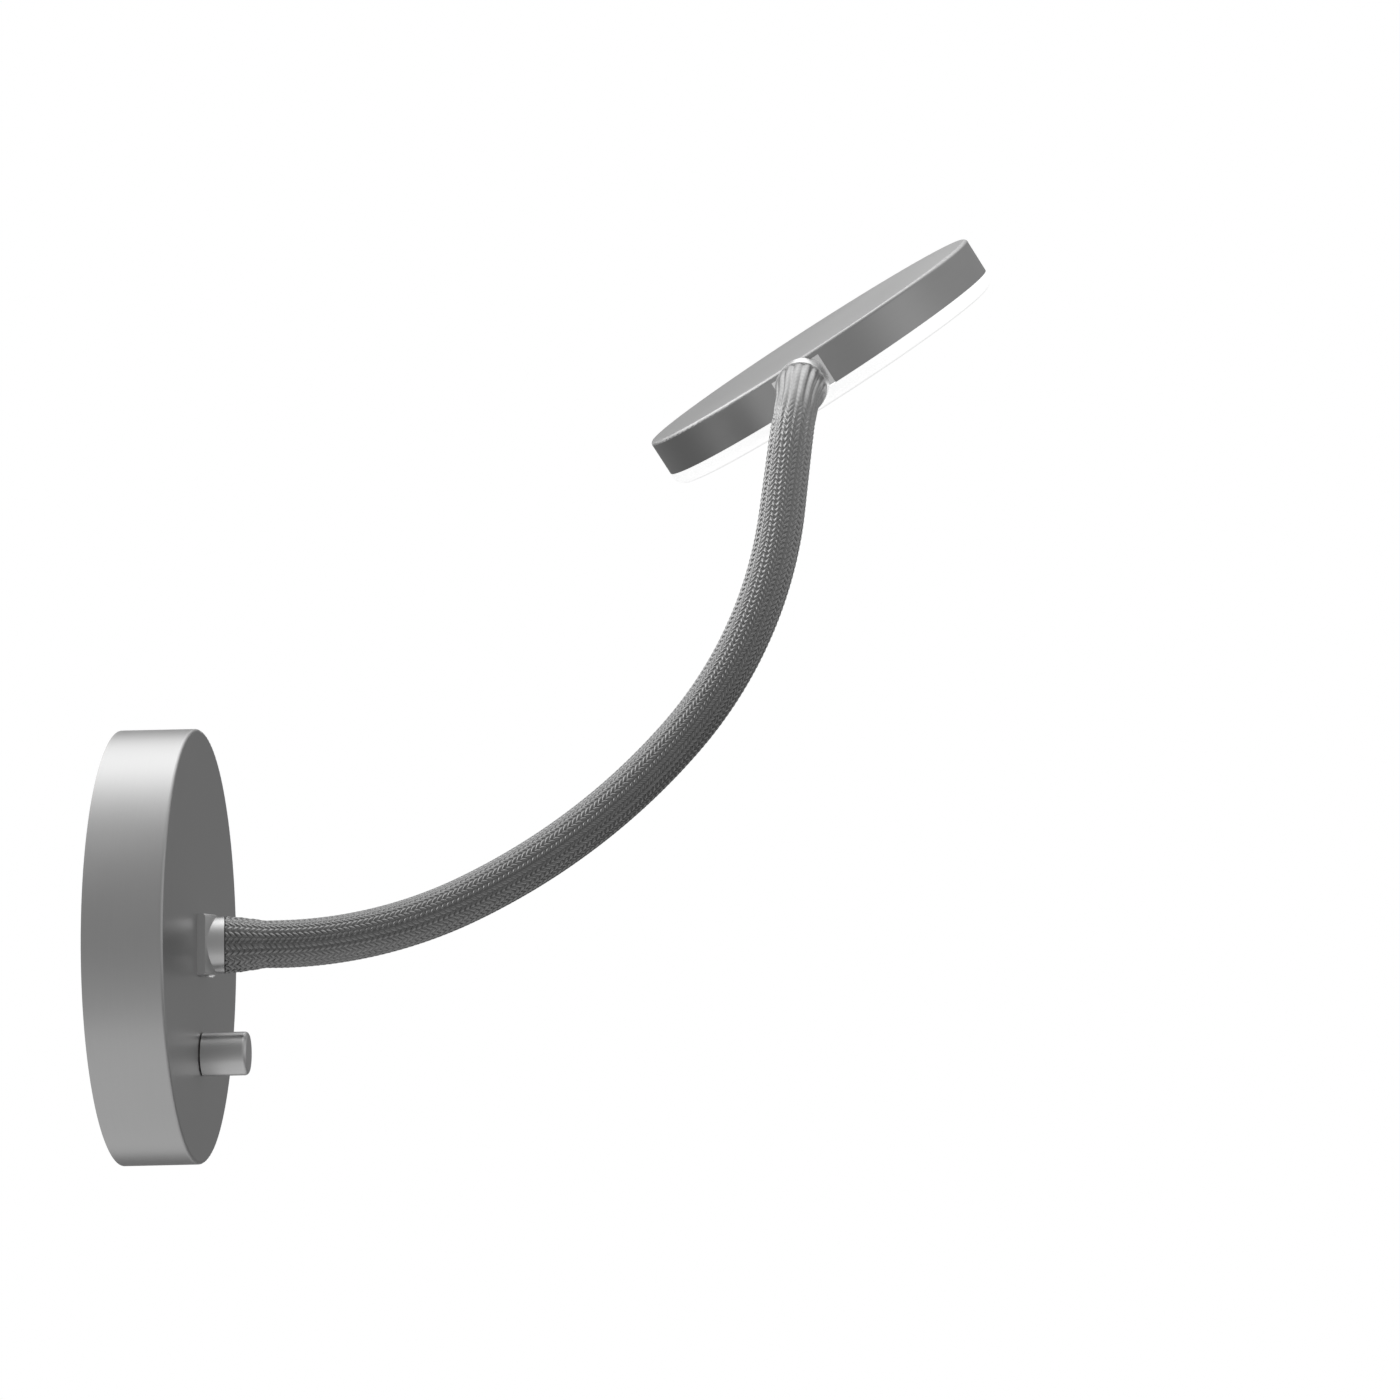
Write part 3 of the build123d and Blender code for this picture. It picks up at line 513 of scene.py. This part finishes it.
# %% [markdown]
# The sleeve bends at ten places, so it is cut into ten pieces at whole floats, half way between the
# places. Each piece bends between two links, and the cut rings of neighbours lie on each other. Every
# piece also takes its normals from the whole sleeve, so no cut shows in the light.

# %% Cut the sleeve into pieces
piece_count = 10
first_hinge = 12.0 * MM
last_hinge = neck_length - stretches[-1][0] / 2
hinges = np.linspace(first_hinge, last_hinge, piece_count)
cuts = [0]
for middle in (hinges[:-1] + hinges[1:]) / 2:
    cuts.append(round((middle + sleeve_tuck) / float_pitch) * steps_in_float)
cuts.append(rings - 1)


def sleeve_piece(number, begin, finish):
    """One piece of the sleeve from ring begin to ring finish, with its weave coordinates."""
    rows = finish - begin + 1
    row, spot = np.meshgrid(np.arange(rows - 1), np.arange(around), indexing="ij")
    after = (spot + 1) % around
    corners = np.stack((row * around + spot, row * around + after,
                        (row + 1) * around + after, (row + 1) * around + spot), axis=-1).reshape(-1, 4)
    mesh = bpy.data.meshes.new(f"sleeve_{number}_woven")
    mesh.from_pydata(sleeve_points[begin:finish + 1].reshape(-1, 3), [], corners.tolist())
    mesh.shade_smooth()
    weave = {
        "weave_column": np.stack((spot, spot + 1, spot + 1, spot), axis=-1) / steps_in_column,
        "weave_float": (np.stack((row, row, row + 1, row + 1), axis=-1) + begin) / steps_in_float,
    }
    for name, values in weave.items():
        layer = mesh.attributes.new(name, "FLOAT", "CORNER")
        layer.data.foreach_set("value", values.ravel().astype(np.float32))
    piece = bpy.data.objects.new(f"sleeve_{number}_woven", mesh)
    scene.collection.objects.link(piece)
    return piece


pieces = [sleeve_piece(number, cuts[number - 1], cuts[number]) for number in range(1, piece_count + 1)]
print("pieces", len(pieces), "faces", sum(len(piece.data.polygons) for piece in pieces))

# %% [markdown]
# ## The thread
#
# Charcoal thread with a shine, such as polyester has. The columns and floats that the mesh carries as
# attributes place the colour: each float has a tone of its own, its filaments run along it, and painted
# shade darkens it where it dives under the next one.

# %% Braid finish
# The darkest thread colour, which the gaps between floats take as painted shade.
braid_dark_and_gap_shade = 0.10
braid_high = 0.22
# A lighter grey for the thread near the head: painted light.
braid_lamp_lit = 0.30

braid, start = new_finish("braid")
weave_column = start.node("ShaderNodeAttribute", {"attribute_name": "weave_column"}, None, "Fac")
weave_float = start.node("ShaderNodeAttribute", {"attribute_name": "weave_float"}, None, "Fac")
in_column = start.math("FRACT", weave_column)
odd = start.math("GREATER_THAN", start.math("FRACT", weave_column * 0.5), 0.5)
along_float = weave_float + odd * 0.5
in_float = start.math("FRACT", along_float)
cell = start.node("ShaderNodeCombineXYZ", None, {
    "X": start.math("FLOOR", weave_column),
    "Y": start.math("FLOOR", along_float),
})
shade = start.node("ShaderNodeTexWhiteNoise", {"noise_dimensions": "3D"}, {"Vector": cell}, "Value")
hump = 1 - (in_float * 2 - 1) ** 2
edge = 1 - (in_column * 2 - 1) ** 4
filament_place = start.node("ShaderNodeCombineXYZ", None, {
    "X": weave_column * 2.5, "Y": weave_float * 9.0, "Z": odd * 7.0})
filament = noise(start, 1.0, 2.0, filament_place)
crest_mask_and_gap_shade = hump * edge
# Near the head the thread turns a lighter grey, brightest on the crests: painted light on the upper neck,
# standing in for the lamp's glow falling on it.
near_head = weave_float.share(floats - 75.0, floats - 9.0)
# The colour is darkest in the gaps between floats, where each dives under the next: painted shade.
tone = (crest_mask_and_gap_shade * 0.7 + shade * 0.15 + filament * 0.15).blend(colour(braid_dark_and_gap_shade), colour(braid_high))
pale = (crest_mask_and_gap_shade * 0.5 + filament * 0.5).blend(colour(braid_lamp_lit * 0.7), colour(braid_lamp_lit * 1.05))
close_finish(start, {
    "Base Color": near_head.blend(tone, pale),
    "Metallic": crest_mask_and_gap_shade * 0.2 + 0.7,
    "Roughness": filament * 0.08 + near_head * 0.12 + 0.15,
    "Specular IOR Level": 0.9,
}, filament, 0.00003)

# %% Bend the pieces with their links
links = ["base"] + [f"link_{number}" for number in range(1, piece_count)] + ["head"]
blend_margin = 2.5 * MM
tip_blend_reach = 9.0 * MM
for number, piece in enumerate(pieces, start=1):
    piece.data.materials.append(braid)
    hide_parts(f"sleeve_{number}")
    begin = max(cuts[number - 1] / steps_in_float * float_pitch - sleeve_tuck, 0.0) + blend_margin
    finish = min(cuts[number] / steps_in_float * float_pitch - sleeve_tuck, neck_length) - blend_margin
    if number == piece_count:
        begin, finish = last_hinge - tip_blend_reach, last_hinge + tip_blend_reach
    piece_normals = sleeve_normals[cuts[number - 1]:cuts[number] + 1].reshape(-1, 3)
    piece.data.normals_split_custom_set_from_vertices(piece_normals.tolist())
    (begin_point, finish_point), unused, unused = neck_frames(np.array((begin, finish)))
    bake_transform(piece, links[number - 1], links[number], start=tuple(begin_point), end=tuple(finish_point))
    weights = np.zeros(len(piece.data.vertices), np.float32)
    piece.data.attributes["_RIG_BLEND"].data.foreach_get("value", weights)
    print("sleeve", number, "weights at its ends", weights[:around].max(), weights[-around:].min())

# %% [markdown]
# ## The studio
#
# The object hangs in white air over a pale floor. The world lights it evenly, and a wide softbox above
# gives the soft shadows their direction.

# %% World and floor
world_fill = 0.50
world = bpy.data.worlds.new("studio")
scene.world = world
world.use_nodes = True
world.node_tree.nodes.clear()
air = Field(world.node_tree)


def seen_white(start):
    """1 for what the camera, a reflection or glass sees, 0 for light that falls on things."""
    rays = {name: start.node("ShaderNodeLightPath", None, None, name)
            for name in ("Is Camera Ray", "Is Glossy Ray", "Is Transmission Ray")}
    seen = start.math("MAXIMUM", rays["Is Camera Ray"], rays["Is Glossy Ray"])
    return start.math("MAXIMUM", seen, rays["Is Transmission Ray"])


sky = air.node("ShaderNodeBackground", None,
               {"Color": colour(1.0), "Strength": seen_white(air) * (1 - world_fill) + world_fill})
air.node("ShaderNodeOutputWorld", None, {"Surface": sky})
scene.view_settings.view_transform = "Standard"

floor_drop = 0.85
floor_size = 3.0
floor_mesh = bpy.data.meshes.new("floor")
floor_corners = ((-1, -1), (1, -1), (1, 1), (-1, 1))
floor_mesh.from_pydata([(x * floor_size, y * floor_size, -floor_drop) for x, y in floor_corners], [],
                       [(0, 1, 2, 3)])
floor = bpy.data.objects.new("floor", floor_mesh)
scene.collection.objects.link(floor)
floor_finish, start = new_finish("pale_floor")
matt = start.node("ShaderNodeBsdfDiffuse", None, {"Color": colour(0.85)})
white = start.node("ShaderNodeEmission", None, {"Color": colour(1.0)})
mixed = start.node("ShaderNodeMixShader", None, {0: seen_white(start) * 0.6, 1: matt, 2: white})
start.node("ShaderNodeOutputMaterial", None, {"Surface": mixed})
floor_mesh.materials.append(floor_finish)

# %% [markdown]
# A dome of cloth stands round the object, and only reflections see it. Its brightness follows the height
# above the horizon, and is darker low on the far side. The wall's side is brighter high up. The room's
# side is brighter at the horizon and darker below it. That gives each rounded metal edge the soft bands
# of a studio.

# %% Reflection dome
dome_radius = 1.3
dome_strength = 2.5
wall_high_level = 3.4
room_low_level = 0.22
room_horizon_level = 0.85
near_side = ((-90, 0.40), (-60, 0.60), (-36, 0.66), (-14, 0.50), (0, 0.43), (30, 0.42), (45, 0.50),
             (60, 0.66), (75, 1.30), (90, 2.40))
far_side = ((-90, 0.40), (-56, 0.20), (-23, 0.20), (0, 0.25), (20, 0.20), (35, 0.42), (52, 1.90),
            (72, 2.45), (90, 2.40))
dome_steps = 48
dome_rings = 24
dome_foot = -floor_drop + 0.01
dome_top = dome_radius * 0.999
heights = [dome_foot + (dome_top - dome_foot) * k / dome_rings for k in range(dome_rings + 1)]
dome_points = []
for z in heights:
    reach = math.sqrt(dome_radius ** 2 - z ** 2)
    for k in range(dome_steps):
        angle = 2 * math.pi * k / dome_steps
        dome_points.append((reach * math.cos(angle), reach * math.sin(angle), z))
dome_faces = [(r * dome_steps + k, r * dome_steps + (k + 1) % dome_steps,
               (r + 1) * dome_steps + (k + 1) % dome_steps, (r + 1) * dome_steps + k)
              for r in range(dome_rings) for k in range(dome_steps)]
dome_mesh = bpy.data.meshes.new("dome")
dome_mesh.from_pydata(dome_points, [], dome_faces)
dome = bpy.data.objects.new("dome", dome_mesh)
scene.collection.objects.link(dome)
dome.visible_camera = False
dome.visible_diffuse = False
dome.visible_shadow = False
dome.visible_transmission = False
dome_finish, start = new_finish("dome_cloth")
place = start.node("ShaderNodeTexCoord", None, None, "Object")
height = start.node("ShaderNodeSeparateXYZ", None, {"Vector": place}, "Z")
depth = start.node("ShaderNodeSeparateXYZ", None, {"Vector": place}, "X")
level_reach = start.math("SQRT", dome_radius ** 2 - height * height)
rise = start.math("ARCTAN2", height, level_reach) / math.pi + 0.5
sides = []
for bands in (near_side, far_side):
    stops = [((angle + 90) / 180, colour(level / dome_strength)) for angle, level in bands]
    sides.append(start.node("ShaderNodeValToRGB", {"stops": stops}, {"Fac": rise}))
bands = (depth / level_reach).share(-1.0, 1.0).blend(sides[0], sides[1])
width = start.node("ShaderNodeSeparateXYZ", None, {"Vector": place}, "Y")
sideways = width / level_reach
wall_high = sideways.share(0.45, 0.80) * rise.share(0.56, 0.68) * (1 - rise.share(0.74, 0.84))
room_low = (sideways * -1).share(0.30, 0.80) * (1 - rise.share(0.36, 0.48))
room_horizon = (sideways * -1).share(0.50, 0.95) * rise.share(0.40, 0.52) * (1 - rise.share(0.60, 0.70))
bands = room_horizon.blend(bands, colour(room_horizon_level / dome_strength))
bands = wall_high.blend(bands, colour(wall_high_level / dome_strength))
bands = room_low.blend(bands, colour(room_low_level / dome_strength))
glow = start.node("ShaderNodeEmission", None, {"Color": bands, "Strength": dome_strength})
start.node("ShaderNodeOutputMaterial", None, {"Surface": glow})
dome_mesh.materials.append(dome_finish)

# %% Softbox
softbox_level = 2.0
softbox_width = 1.6
softbox_depth = 1.8
softbox_place = Vector((0.35, -0.1, 1.6))
light = bpy.data.lights.new("softbox", "AREA")
light.shape = "RECTANGLE"
light.size = softbox_width
light.size_y = softbox_depth
light.energy = softbox_level * math.pi * softbox_width * softbox_depth
softbox = bpy.data.objects.new("softbox", light)
scene.collection.objects.link(softbox)
softbox.location = softbox_place
softbox.rotation_euler = (Vector((0, -0.1, 0.1)) - softbox_place).to_track_quat("-Z", "Y").to_euler()
softbox.visible_glossy = False
print("softbox power", round(light.energy, 1), "W")
